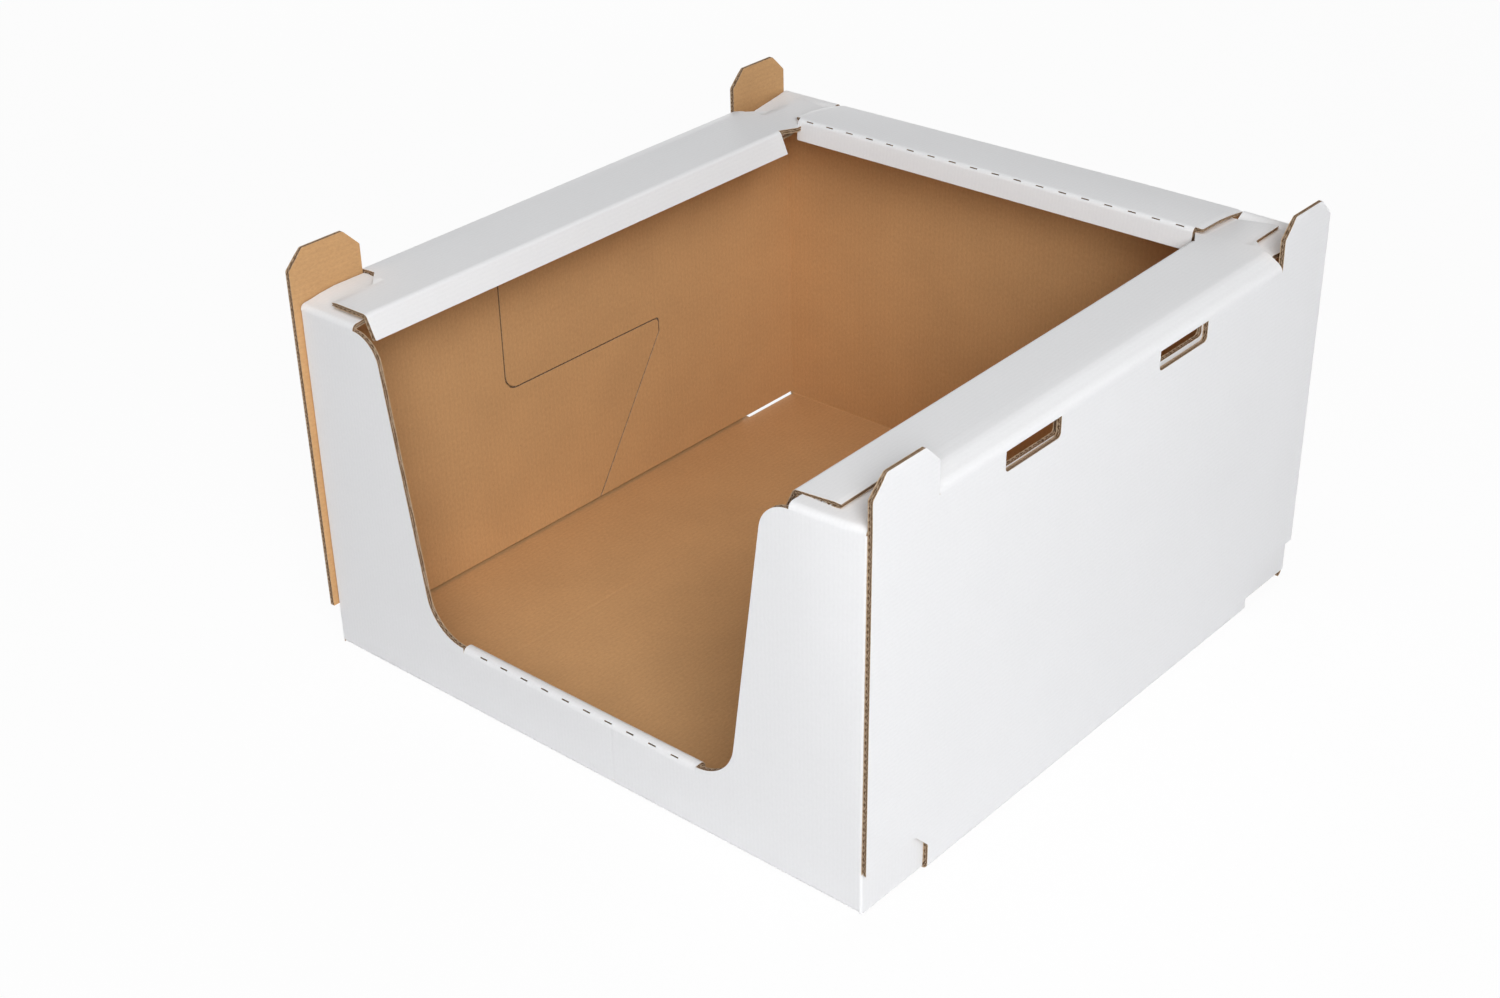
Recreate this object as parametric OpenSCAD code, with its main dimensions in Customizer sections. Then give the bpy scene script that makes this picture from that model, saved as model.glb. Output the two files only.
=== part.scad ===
// Open-fronted stacking tray, folded and glued from one die-cut sheet of corrugated board.
// The origin is under the middle of the floor, the open front faces -Y and up is +Z.

/* [Tray] */
// Width outside, across the two outer side walls
tray_w = 375; // [330:1:430]
// Depth outside, from the front wall to the back wall
tray_l = 390; // [350:1:440]
// Height to the top of the side rims
tray_h = 210; // [180:1:260]

/* [Board] */
// Thickness of the double-wall board
board = 2.8; // [2.2:0.1:3.4]
// Radius inside a fold
fold_r = 0.5; // [0.3:0.1:1]
// Space between two layers that are glued or pressed together
layer_gap = 0.2; // [0.1:0.05:0.3]

/* [Side rims] */
// Width of a side rim, from the tray's outside to its inner crease
rim_w = 50; // [44:1:56]
// How far the rim's front edge lies behind the front wall
rim_front = 9; // [6:1:12]
// How far the rim's back edge lies before the back wall's outside
rim_back = 9; // [8:0.5:10]
// Length of the lip below the rim's inner crease
lip_len = 12; // [9:1:15]
// Angle at which the lip stands out from the vertical
lip_lean = 25; // [10:1:35]
// Distance from the back wall's outside to the lip's back end
lip_back = 58; // [56:1:62]

/* [Back rim] */
// Depth of the back rim, from the tray's outside to its inner crease
back_rim_d = 47; // [44:1:50]
// How far the back rim reaches over each side rim, at its fold
back_over = 6; // [5:0.5:8]
// How much each end of the back rim is drawn in at its inner crease
back_rim_taper = 2; // [1:0.5:4]
// Length of the back lip
back_lip_len = 10; // [8:1:13]
// Angle at which the back lip stands out from the vertical
back_lip_lean = 8; // [4:1:20]
// How much shorter the back lip is than the rim's crease, at each end
back_lip_in = 4; // [3:1:8]

/* [Corner flaps] */
// Depth of the four flaps under the side rims' ends
flap_d = 58; // [50:1:66]
// Space beside the back rim, to the flap next to it
flap_slit = 2; // [1:0.5:3]

/* [Stacking tabs] */
// Width of a tab along the side wall
tab_w = 47; // [40:1:52]
// Height of a tab above the rim
tab_h = 24.5; // [20:0.5:30]
// Length of the bevel at a tab's top corners, along each edge
tab_bevel = 10; // [7:1:13]
// Radius that softens a tab's corners
tab_r = 2; // [1:0.5:3]
// Room round a tab in the notch of the tray above
notch_clear = 0.5; // [0.3:0.1:1.5]

/* [Front opening] */
// Height of the front sill
sill_h = 38; // [30:1:50]
// Width of a front post at the sill, from the tray's outside to where the sill is straight
post_w = 105.5; // [95:0.5:115]
// Level width between the two folds of the rolled-over sill
sill_flat = 0.8; // [0.4:0.2:2.4]
// Radius where the sill curves up into the opening's sides
low_r = 25.5; // [18:0.5:30]
// Angle by which the opening's sides lean outwards
side_lean = 8.4; // [5:0.2:11]
// Radius of the rounded shoulders at the top of the opening
shoulder_r = 17.5; // [12:0.5:20]

/* [Perforated creases] */
// Length of a slit along the sill's crease and the back rim's crease
slit_l = 5; // [4:0.5:6]
// Distance from one slit to the next
slit_pitch = 15; // [12:1:18]
// Width of a slit
slit_w = 0.6; // [0.4:0.1:0.8]

/* [Side slots] */
// Length of a slot
slot_l = 44; // [36:1:52]
// Height of a slot
slot_h = 11.4; // [8:0.2:14]
// Corner radius of a slot
slot_r = 2.5; // [1.5:0.5:3]
// Place of the front slot's middle, from the tray's middle
slot_front_y = -73; // [-85:1:-60]
// Place of the back slot's middle, from the tray's middle
slot_back_y = 56; // [45:1:70]
// How much smaller the slot is in the inner layer, at its bottom and ends
slot_step = 1; // [0.5:0.1:1.5]

/* [Inner side layer] */
// Height of the inner layer's lower edge above the floor
flap_lift = 1.7; // [1:0.1:2.5]
// Height of the front flap's foot above the ground, in the front notch
foot_lift = 0.8; // [0.5:0.1:1.5]
// Width of the cut between the front flap and the back flap
flap_cut = 0.8; // [0.5:0.1:1.2]
// Place where the cut between the flaps runs down from the rim
cut_front_y = -62; // [-75:1:-50]
// Height at which that cut runs towards the back
cut_mid_z = 104; // [90:1:120]
// Place where the cut turns down again
cut_back_y = 66; // [55:1:78]
// Length of the short drop before the cut slants to the floor
cut_drop = 9; // [5:1:12]
// Place where the slanting cut meets the floor
cut_foot_y = 8; // [0:1:16]
// Radius of the cut's front corner
cut_r = 9; // [5:1:12]

/* [Hidden] */

$fn = 48;
arc_steps = 8;
past = 1;                                   // how far a cutter runs past what it cuts
leg = 1;                                    // straight run at each side of a fold
kraft = "burlywood";

fold_o = fold_r + board;                    // outside radius of a fold
flap_top = tray_h - board - layer_gap;      // top face of the flaps under the side rims
back_top = tray_h + layer_gap + board;      // top face of the back rim
in_x = tray_w / 2 - board - layer_gap;      // outer face of the inner side layer
corner_x = in_x - fold_o;                   // where the front and back walls turn the corner
in_top = flap_top - board - layer_gap;      // top edge of the inner side layer
in_low = board + flap_lift;                 // lower edge of the inner side layer
tab_y = tray_l / 2 - tab_w;                 // where a tab begins
notch_y = tab_y - notch_clear;              // where a notch begins
notch_h = tab_h + notch_clear;              // height of a notch
sill_half = tray_w / 2 - post_w;            // half of the sill's straight stretch
low_run = low_r * tan(45 - side_lean / 2);  // from the sill's end to the corner's sharp point
low_x = sill_half + low_run;
shoulder_z = flap_top - fold_o;             // flat top of the front wall's posts
shoulder_x = low_x + (shoulder_z - sill_h) * tan(side_lean);
flap_x = shoulder_x + shoulder_r * tan(45 - side_lean / 2);
back_half = tray_w / 2 - rim_w + back_over;  // half of the back rim's width at its fold

// Outline maths

// Points of the arc that rounds the corner at b, between a and c, with radius r
function round_corner(a, b, c, r) =
    let (
        u = (a - b) / norm(a - b),
        v = (c - b) / norm(c - b),
        half = acos(u * v) / 2,
        centre = b + (u + v) / norm(u + v) * r / sin(half),
        start = b + u * r / tan(half) - centre,
        from = atan2(start[1], start[0]),
        turn = (u[0] * v[1] - u[1] * v[0] > 0 ? -1 : 1) * (180 - 2 * half)
    )
    [for (i = [0 : arc_steps]) centre + r * [cos(from + turn * i / arc_steps), sin(from + turn * i / arc_steps)]];

// A closed outline with corner i rounded by radii[i]; 0 keeps it sharp
function rounded(points, radii) =
    let (n = len(points))
    [for (i = [0 : n - 1])
        each radii[i] == 0
            ? [points[i]]
            : round_corner(points[(i + n - 1) % n], points[i], points[(i + 1) % n], radii[i])];

// Folds

// Section of a right-angled fold: the board comes along X, its outer face at Y = 0, and turns down
module fold_section(run_in = leg, run_out = leg) {
    translate([-run_in, -board])
        square([run_in, board]);
    translate([0, -fold_o])
        intersection() {
            difference() {
                circle(fold_o);
                circle(fold_r);
            }
            square(fold_o);
        }
    translate([fold_r, -fold_o - run_out])
        square([board, run_out]);
}

// Section of a lip: the board comes along X, its outer face at Y = 0, and bends down by an angle
module lip_section(angle, run_out) {
    centre = [0, -fold_o];
    down = [cos(angle), -sin(angle)] * run_out;
    out = [sin(angle), cos(angle)];
    polygon([
        [-leg, 0],
        for (i = [0 : arc_steps]) centre + fold_o * [sin(angle * i / arc_steps), cos(angle * i / arc_steps)],
        centre + fold_o * out + down,
        centre + fold_r * out + down,
        for (i = [arc_steps : -1 : 0]) centre + fold_r * [sin(angle * i / arc_steps), cos(angle * i / arc_steps)],
        [-leg, -board]]);
}

// Places its children, a section, along Y from y0 to y1; the board turns down towards +X
module run_along_y(x, y0, y1, z) {
    translate([x, y1, z])
        rotate([90, 0, 0])
            linear_extrude(y1 - y0)
                children();
}

// Places its children, a section, along X from x0 to x1; the board turns down towards +Y
module run_along_x(x0, x1, y, z) {
    translate([x0, y, z])
        rotate([90, 0, 90])
            linear_extrude(x1 - x0)
                children();
}

// An upright corner fold; the board comes along X with its outer face at Y = y and turns to -Y
module fold_upright(x, y, z0, z1) {
    translate([x, y, z0])
        linear_extrude(z1 - z0)
            fold_section();
}

// The row of slits that perforates a crease along X; y and z are the fold's centre
module perforation(half, y, z) {
    count = floor(2 * half / slit_pitch);
    for (i = [0 : count - 1])
        translate([(i - (count - 1) / 2) * slit_pitch, y, z])
            rotate([45, 0, 0])
                translate([-slit_l / 2, -slit_w / 2, 0])
                    cube([slit_l, slit_w, fold_o + past]);
}

// Places its children, drawn in Y and Z, as a panel whose inner face is at X = x
module side_panel(x, thickness = board) {
    translate([x, 0, 0])
        rotate([90, 0, 90])
            linear_extrude(thickness)
                children();
}

// Places its children, drawn in X and Z, as a panel whose back face is at Y = y
module cross_panel(y) {
    translate([0, y, 0])
        rotate([90, 0, 0])
            linear_extrude(board)
                children();
}

// Places its children, drawn in X and Y, as a level panel whose lower face is at Z = z
module level_panel(z) {
    translate([0, 0, z])
        linear_extrude(board)
            children();
}

module on_both_sides() {
    children();
    mirror([1, 0, 0])
        children();
}

module at_both_ends() {
    children();
    mirror([0, 1, 0])
        children();
}

// The same for an outline drawn in Y and Z
module at_both_ends_flat() {
    children();
    mirror([1, 0])
        children();
}

// Outlines

// A stacking tab at the back end of a side wall, in Y and Z
module tab_outline() {
    y1 = tray_l / 2;
    z0 = tray_h - fold_o - leg;
    z1 = tray_h + tab_h;
    polygon(rounded(
        [[tab_y, z0], [y1, z0], [y1, z1 - tab_bevel], [y1 - tab_bevel, z1], [tab_y + tab_bevel, z1],
            [tab_y, z1 - tab_bevel]],
        [0, 0, tab_r, tab_r, tab_r, tab_r]));
}

// The notch at the foot of a side wall's back end, that takes the tab of the tray below
module notch_outline() {
    polygon(rounded(
        [[notch_y, -past], [tray_l / 2 + past, -past], [tray_l / 2 + past, notch_h],
            [notch_y + tab_bevel, notch_h], [notch_y, notch_h - tab_bevel]],
        [0, 0, 0, tab_r, tab_r]));
}

// One slot right under the rim, in Y and Z; it can be made smaller at its bottom and ends
module slot_outline(y, smaller) {
    half = slot_l / 2 - smaller;
    z0 = flap_top - slot_h + smaller;
    polygon(rounded(
        [[y - half, z0], [y + half, z0], [y + half, flap_top], [y - half, flap_top]],
        [slot_r, slot_r, 0, 0]));
}

// The front flap of the inner side layer, in Y and Z; its foot reaches down behind the front notch
module front_flap_outline() {
    y0 = -tray_l / 2 + fold_o;
    difference() {
        polygon(rounded(
            [[y0, foot_lift], [-tab_y, foot_lift], [-tab_y, in_low], [cut_foot_y, in_low],
                [cut_back_y, cut_mid_z - cut_drop], [cut_back_y, cut_mid_z], [cut_front_y, cut_mid_z],
                [cut_front_y, in_top], [y0, in_top]],
            [0, 0, 0, 0, 0, cut_r / 3, cut_r, 0, 0]));
        slot_outline(slot_front_y, slot_step);
    }
}

// The back flap of the inner side layer, which butts against the front flap
module back_flap_outline() {
    difference() {
        translate([cut_front_y, in_low])
            square([tray_l / 2 - fold_o - cut_front_y, in_top - in_low]);
        for (shift = [[0, 0], [flap_cut, 0], [0, flap_cut]])
            translate(shift)
                front_flap_outline();
        slot_outline(slot_front_y, slot_step);
        slot_outline(slot_back_y, slot_step);
    }
}

// The front wall with its opening, up to the folds of the posts' flaps
module front_wall_outline() {
    difference() {
        polygon(rounded(
            [[-corner_x, fold_o], [corner_x, fold_o], [corner_x, shoulder_z], [shoulder_x, shoulder_z],
                [low_x, sill_h], [-low_x, sill_h], [-shoulder_x, shoulder_z], [-corner_x, shoulder_z]],
            [0, 0, 0, shoulder_r, low_r, low_r, shoulder_r, 0]));
        translate([-sill_half, sill_h - fold_o])
            square([2 * sill_half, fold_o + past]);
    }
}

// The back wall, higher in the middle where the back rim folds forward
module back_wall_outline() {
    polygon([[-corner_x, fold_o], [corner_x, fold_o], [corner_x, shoulder_z], [back_half, shoulder_z],
        [back_half, back_top - fold_o], [-back_half, back_top - fold_o], [-back_half, shoulder_z],
        [-corner_x, shoulder_z]]);
}

// A side rim seen from above, with the two gaps that its tabs leave and a step for the back rim's fold
module rim_outline() {
    x0 = tray_w / 2 - rim_w + fold_o;
    x1 = tray_w / 2 - fold_o;
    gap_x = tray_w / 2 - tab_h;
    difference() {
        translate([x0, -tray_l / 2 + rim_front])
            square([x1 - x0, tray_l - rim_front - rim_back]);
        translate([x0 - past, tray_l / 2 - board - layer_gap])
            square([back_half + flap_slit - x0 + past, board + layer_gap + past]);
        at_both_ends()
            polygon(rounded(
                [[x1 + past, tab_y - layer_gap], [x1 + past, tray_l / 2 + past], [gap_x, tray_l / 2 + past],
                    [gap_x, tab_y + tab_bevel], [gap_x + tab_bevel, tab_y - layer_gap]],
                [0, 0, 0, tab_r, tab_r]));
    }
}

// Panels

module floor_panel() {
    level_panel(0)
        difference() {
            square([tray_w - 2 * fold_o, tray_l - 2 * fold_o], center = true);
            on_both_sides()
                at_both_ends()
                    translate([corner_x, notch_y])
                        square([tray_w, tray_l]);
        }
}

// Outer side wall with its tabs, notches and slots, and the folds to the floor and the rim
module outer_side() {
    x = tray_w / 2 - fold_o;
    difference() {
        union() {
            side_panel(tray_w / 2 - board)
                difference() {
                    union() {
                        translate([-tray_l / 2, fold_o])
                            square([tray_l, tray_h - 2 * fold_o]);
                        at_both_ends_flat()
                            tab_outline();
                    }
                    at_both_ends_flat()
                        notch_outline();
                }
            run_along_y(x, -tab_y + layer_gap, tab_y - layer_gap, tray_h)
                fold_section();
        }
        translate([-past, 0, 0])
            side_panel(tray_w / 2 - board, board + 2 * past) {
                slot_outline(slot_front_y, 0);
                slot_outline(slot_back_y, 0);
            }
    }
    mirror([0, 0, 1])
        run_along_y(x, -notch_y, notch_y, 0)
            fold_section();
}

// Side rim with the lip that hangs from its inner crease
module side_rim() {
    level_panel(tray_h - board)
        rim_outline();
    mirror([1, 0, 0])
        run_along_y(-(tray_w / 2 - rim_w + fold_o), -tray_l / 2 + rim_front, tray_l / 2 - lip_back, tray_h)
            lip_section(90 - lip_lean, lip_len);
}

// Inner layer of a side wall: one flap from the front wall and one from the back wall
module inner_side() {
    side_panel(in_x - board) {
        front_flap_outline();
        back_flap_outline();
    }
    mirror([0, 1, 0])
        fold_upright(corner_x, tray_l / 2, in_low, shoulder_z);
    fold_upright(corner_x, tray_l / 2, in_low, shoulder_z);
}

// A flap that folds in from the top of a wall, under the end of the side rim
module corner_flap(x0) {
    y1 = tray_l / 2 - fold_o;
    level_panel(flap_top - board)
        translate([x0, y1 - flap_d + fold_o])
            square([corner_x - x0, flap_d - fold_o]);
    run_along_x(x0, corner_x, y1, flap_top)
        fold_section();
}

module front_wall() {
    cross_panel(-tray_l / 2 + board)
        front_wall_outline();
    mirror([0, 1, 0]) {
        floor_fold();
        on_both_sides()
            corner_flap(flap_x);
    }
}

// The sill, rolled over and hanging down inside the front wall
module sill_roll() {
    y = tray_l / 2 - fold_o;
    difference() {
        mirror([0, 1, 0])
            run_along_x(-sill_half, sill_half, y, sill_h)
                fold_section();
        perforation(sill_half, -y, sill_h - fold_o);
    }
    run_along_x(-sill_half, sill_half, -y + sill_flat, sill_h)
        fold_section(sill_flat, sill_h - fold_o - board - layer_gap);
}

module back_wall() {
    cross_panel(tray_l / 2)
        back_wall_outline();
    floor_fold();
    on_both_sides()
        corner_flap(back_half + flap_slit);
}

// The fold between the floor and the back wall
module floor_fold() {
    mirror([0, 0, 1])
        run_along_x(-corner_x, corner_x, tray_l / 2 - fold_o, 0)
            fold_section();
}

// Back rim lying on the side rims' ends, with its own lip
module back_rim() {
    y0 = tray_l / 2 - back_rim_d + fold_o;
    y1 = tray_l / 2 - fold_o;
    lip_half = back_half - back_rim_taper - back_lip_in;
    level_panel(back_top - board)
        polygon([[-back_half, y1], [back_half, y1], [back_half - back_rim_taper, y0],
            [-back_half + back_rim_taper, y0]]);
    run_along_x(-back_half, back_half, y1, back_top)
        fold_section();
    difference() {
        mirror([0, 1, 0])
            run_along_x(-lip_half, lip_half, -y0, back_top)
                lip_section(90 - back_lip_lean, back_lip_len);
        perforation(lip_half, y0, back_top - fold_o);
    }
}

module tray() {
    color(kraft) {
        floor_panel();
        on_both_sides() {
            outer_side();
            side_rim();
            inner_side();
        }
        front_wall();
        sill_roll();
        back_wall();
        back_rim();
    }
}

tray();
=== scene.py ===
"""Looks of the open-front cardboard tray: real double-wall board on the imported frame, in metres."""

import math

import bpy
import numpy as np
from mathutils import Matrix, Vector


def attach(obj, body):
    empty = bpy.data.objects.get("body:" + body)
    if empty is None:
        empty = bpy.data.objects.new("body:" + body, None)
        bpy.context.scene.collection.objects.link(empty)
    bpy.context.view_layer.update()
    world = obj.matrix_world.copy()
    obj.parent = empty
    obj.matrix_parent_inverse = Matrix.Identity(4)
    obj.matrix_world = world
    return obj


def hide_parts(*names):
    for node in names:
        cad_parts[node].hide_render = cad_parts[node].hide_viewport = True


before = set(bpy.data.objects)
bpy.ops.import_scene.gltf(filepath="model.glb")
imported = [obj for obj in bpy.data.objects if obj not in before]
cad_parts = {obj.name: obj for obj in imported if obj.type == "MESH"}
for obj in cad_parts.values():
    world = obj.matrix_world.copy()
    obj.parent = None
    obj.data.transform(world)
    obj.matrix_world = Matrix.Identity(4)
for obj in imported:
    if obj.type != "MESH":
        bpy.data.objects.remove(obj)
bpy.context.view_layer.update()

MM = 0.001

# Sizes of the tray, in millimetres, as in part.scad

TRAY_W, TRAY_L, TRAY_H = 375.0, 390.0, 210.0
BOARD, FOLD_R, LAYER_GAP = 2.8, 0.5, 0.2
FOLD_O = FOLD_R + BOARD
ARC = FOLD_O * math.pi / 2
RIM_W = 50.0
LIP_LEN, LIP_LEAN, LIP_BACK = 12.0, 25.0, 58.0
BACK_RIM_D = 47.0
BACK_LIP_LEN, BACK_LIP_LEAN, BACK_LIP_IN = 10.0, 8.0, 4.0
FLAP_D, FLAP_SLIT = 58.0, 2.0
TAB_W, TAB_H, TAB_BEVEL, TAB_R, NOTCH_CLEAR = 47.0, 24.5, 10.0, 2.0, 0.5
SILL_H, POST_W, SILL_FLAT, LOW_R = 38.0, 105.5, 0.8, 25.5
SIDE_LEAN, SHOULDER_R = 8.4, 17.5
SLIT_L, SLIT_PITCH, SLIT_W = 5.0, 15.0, 0.7
SLOT_L, SLOT_H, SLOT_R, SLOT_STEP = 44.0, 11.4, 2.5, 1.0
SLOT_FRONT_Y, SLOT_BACK_Y = -73.0, 56.0
FLAP_LIFT, FOOT_LIFT, FLAP_CUT = 1.7, 0.8, 0.9
CUT_FRONT_Y, CUT_MID_Z, CUT_BACK_Y, CUT_DROP, CUT_FOOT_Y, CUT_R = -62.0, 104.0, 66.0, 9.0, 8.0, 9.0

HALF_W, HALF_L = TRAY_W / 2, TRAY_L / 2
FLAP_TOP = TRAY_H - BOARD - LAYER_GAP
BACK_TOP = TRAY_H + LAYER_GAP + BOARD
IN_X = HALF_W - BOARD - LAYER_GAP
CORNER_R = 1.3
CORNER_ARC = CORNER_R * math.pi / 2
WALL_X = IN_X - CORNER_R
CORNER_X = IN_X - FOLD_O
IN_TOP = FLAP_TOP - BOARD - LAYER_GAP
IN_LOW = BOARD + FLAP_LIFT
TAB_Y = HALF_L - TAB_W
NOTCH_Y = TAB_Y - NOTCH_CLEAR
NOTCH_H = TAB_H + NOTCH_CLEAR
SILL_HALF = HALF_W - POST_W
LEAN = math.tan(math.radians(SIDE_LEAN))
HALF_TURN = math.tan(math.radians(45 - SIDE_LEAN / 2))
LOW_X = SILL_HALF + LOW_R * HALF_TURN
SHOULDER_Z = FLAP_TOP - FOLD_O
SHOULDER_X = LOW_X + (SHOULDER_Z - SILL_H) * LEAN
FLAP_X = SHOULDER_X + SHOULDER_R * HALF_TURN

# Section of the double-wall board, from the white face inwards: liner, F flutes, middle sheet, E flutes, liner

LINER, MIDDLE, PAPER = 0.28, 0.18, 0.16
F_PITCH, E_PITCH = 2.45, 3.45
F_ROOM = 0.9
E_ROOM = BOARD - 2 * LINER - MIDDLE - F_ROOM
# how deep the liners sink between the flutes, and the columns of the mesh in one flute
WASH_OUT, WASH_IN = 0.012, 0.022
STEPS = 8
# the mesh: a column or row nearer than this to an outline's corner is left out; SAME is taken for no length
COL_CLEAR, ROW_CLEAR, SAME = 0.03, 0.05, 1e-4
MIDDLE_STEP = 6
# the least radius on the inside of a bend, and the millimetres of sheet in one unit of its texture coordinates
LEAST_R = 0.05
SHEET_MM = 100.0


def rounded(points, radii, steps=8):
    """A closed outline whose corner i is rounded by radii[i]; 0 keeps it sharp."""
    out = []
    n = len(points)
    for i in range(n):
        if not radii[i]:
            out.append(tuple(points[i]))
            continue
        a, b, c = (np.array(points[k % n], float) for k in (i - 1, i, i + 1))
        u, v = (a - b) / np.linalg.norm(a - b), (c - b) / np.linalg.norm(c - b)
        half = math.acos(float(np.clip(u @ v, -1, 1))) / 2
        centre = b + (u + v) / np.linalg.norm(u + v) * radii[i] / math.sin(half)
        start = b + u * radii[i] / math.tan(half) - centre
        turn = math.pi - 2 * half
        if u[0] * v[1] - u[1] * v[0] > 0:
            turn = -turn
        for k in range(steps + 1):
            t = turn * k / steps
            out.append(tuple(centre + np.array([start[0] * math.cos(t) - start[1] * math.sin(t),
                                                start[0] * math.sin(t) + start[1] * math.cos(t)])))
    return out


def swapped(points):
    return [(q, p) for p, q in points]


def rect(a0, a1, b0, b1):
    return [(a0, b0), (a1, b0), (a1, b1), (a0, b1)]


class Path:
    """The outer face of a bent board in a plane (u, z); it always turns left, and outwards is to the right."""

    def __init__(self, start, heading, parts, radius=FOLD_O):
        self.knots, self.s, self.radius = [], [0.0], radius
        p, h = np.array(start, float), math.radians(heading)
        for kind, size in parts:
            self.knots.append((kind, p.copy(), h, size))
            if kind == "line":
                p = p + size * np.array([math.cos(h), math.sin(h)])
                self.s.append(self.s[-1] + size)
            else:
                turn = math.radians(size)
                centre = p + radius * np.array([-math.sin(h), math.cos(h)])
                h += turn
                p = centre + radius * np.array([math.sin(h), -math.cos(h)])
                self.s.append(self.s[-1] + radius * turn)

    def at(self, s, n):
        u, z = np.zeros_like(s), np.zeros_like(s)
        last = len(self.knots) - 1
        for i, (kind, p, h, size) in enumerate(self.knots):
            lo = -np.inf if i == 0 else self.s[i]
            hi = np.inf if i == last else self.s[i + 1]
            m = (s >= lo) & (s < hi)
            d = s[m] - self.s[i]
            if kind == "line":
                u[m] = p[0] + d * math.cos(h) + n[m] * math.sin(h)
                z[m] = p[1] + d * math.sin(h) - n[m] * math.cos(h)
            else:
                r = self.radius
                cu, cz = p[0] - r * math.sin(h), p[1] + r * math.cos(h)
                t = h + d / r
                deep = np.maximum(r + n[m], LEAST_R)
                u[m] = cu + deep * np.sin(t)
                z[m] = cz - deep * np.cos(t)
        return u, z


def strips(polys, cols):
    """Cuts a region (closed outlines, even-odd) into strips between columns; each strip lists its intervals."""
    e = []
    for poly in polys:
        for k in range(len(poly)):
            (a0, b0), (a1, b1) = poly[k], poly[(k + 1) % len(poly)]
            if abs(a0 - a1) > 1e-7:
                e.append((a0, b0, a1, b1) if a0 < a1 else (a1, b1, a0, b0))
    e = np.array(e)
    marks = np.unique(np.round([p[0] for poly in polys for p in poly], 6))
    cols = np.asarray(cols)
    cols = cols[(cols > marks[0]) & (cols < marks[-1])]
    near = np.abs(cols[:, None] - marks[None, :]).min(1) < COL_CLEAR
    x = np.unique(np.concatenate([cols[~near], marks]))
    slope = (e[:, 3] - e[:, 1]) / (e[:, 2] - e[:, 0])
    out = []
    for i in range(len(x) - 1):
        mid = (x[i] + x[i + 1]) / 2
        on = np.nonzero((e[:, 0] < mid) & (e[:, 2] > mid))[0]
        bm = e[on, 1] + slope[on] * (mid - e[on, 0])
        on = on[np.argsort(bm)]
        row = []
        for lo, hi in zip(on[0::2], on[1::2]):
            row.append(tuple(float(e[k, 1] + slope[k] * (xx - e[k, 0]))
                             for k in (lo, hi) for xx in (x[i], x[i + 1])))
        out.append(row)
    return x, out


class Builder:
    """Collects the layers of one panel as a mesh in sheet coordinates (a, b, n)."""

    def __init__(self):
        self.a, self.b, self.n = [], [], []
        self.faces, self.mats, self.smooth = [], [], []

    def layer(self, polys, cols, rows, top, bottom, mats):
        """A closed sheet between n = top(a, b) and n = bottom(a, b).

        mats are the materials of its top, its bottom and its cut edges.
        """
        x, table = strips(polys, cols)
        rows = np.unique(np.round(rows, 4))
        known = {}

        def vert(i, b, k):
            key = (i, round(b, 4), k)
            v = known.get(key)
            if v is None:
                v = known[key] = len(self.a)
                self.a.append(x[i])
                self.b.append(b)
                self.n.append((top, bottom)[k % 2](x[i], b))
            return v

        def quad(v, mat, smooth):
            if len(set(v)) > 2:
                self.faces.append(v)
                self.mats.append(mat)
                self.smooth.append(smooth)

        def wall(i, b0, b1, faces_up):
            between = [float(r) for r in rows if b0 + ROW_CLEAR < r < b1 - ROW_CLEAR]
            bs = [b0] + between + [b1]
            for p, q in zip(bs, bs[1:]):
                v = [vert(i, p, 2), vert(i, q, 2), vert(i, q, 3), vert(i, p, 3)]
                quad(v if faces_up else v[::-1], mats[2], False)

        before = []
        for i, row in enumerate(table + [[]]):
            left = [(r[0], r[2]) for r in row]
            cuts = sorted(set([b for r in before for b in r] + [b for r in left for b in r]))
            for p, q in zip(cuts, cuts[1:]):
                if q - p < SAME:
                    continue
                m = (p + q) / 2
                was, now = any(r[0] < m < r[1] for r in before), any(r[0] < m < r[1] for r in left)
                if was != now:
                    wall(i, p, q, now)
            for lo0, lo1, hi0, hi1 in row:
                b_lo, b_hi = max(lo0, lo1), min(hi0, hi1)
                between = [float(r) for r in rows if b_lo + ROW_CLEAR < r < b_hi - ROW_CLEAR]
                bl, br = [lo0] + between + [hi0], [lo1] + between + [hi1]
                j = i + 1
                for k in range(len(bl) - 1):
                    quad([vert(i, bl[k], 0), vert(j, br[k], 0), vert(j, br[k + 1], 0), vert(i, bl[k + 1], 0)],
                         mats[0], True)
                    quad([vert(i, bl[k], 1), vert(i, bl[k + 1], 1), vert(j, br[k + 1], 1), vert(j, br[k], 1)],
                         mats[1], True)
                quad([vert(i, lo0, 4), vert(i, lo0, 5), vert(j, lo1, 5), vert(j, lo1, 4)], mats[2], False)
                quad([vert(i, hi0, 4), vert(j, hi1, 4), vert(j, hi1, 5), vert(i, hi0, 5)], mats[2], False)
            before = [(r[1], r[3]) for r in row]


# the fourth material, on the fluting and the middle sheet, carries painted shade: it is far darker than the paper is,
# for the shade inside the flute channels
WHITE, KRAFT, EDGE, SHADED_FLUTE = 0, 1, 2, 3


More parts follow.
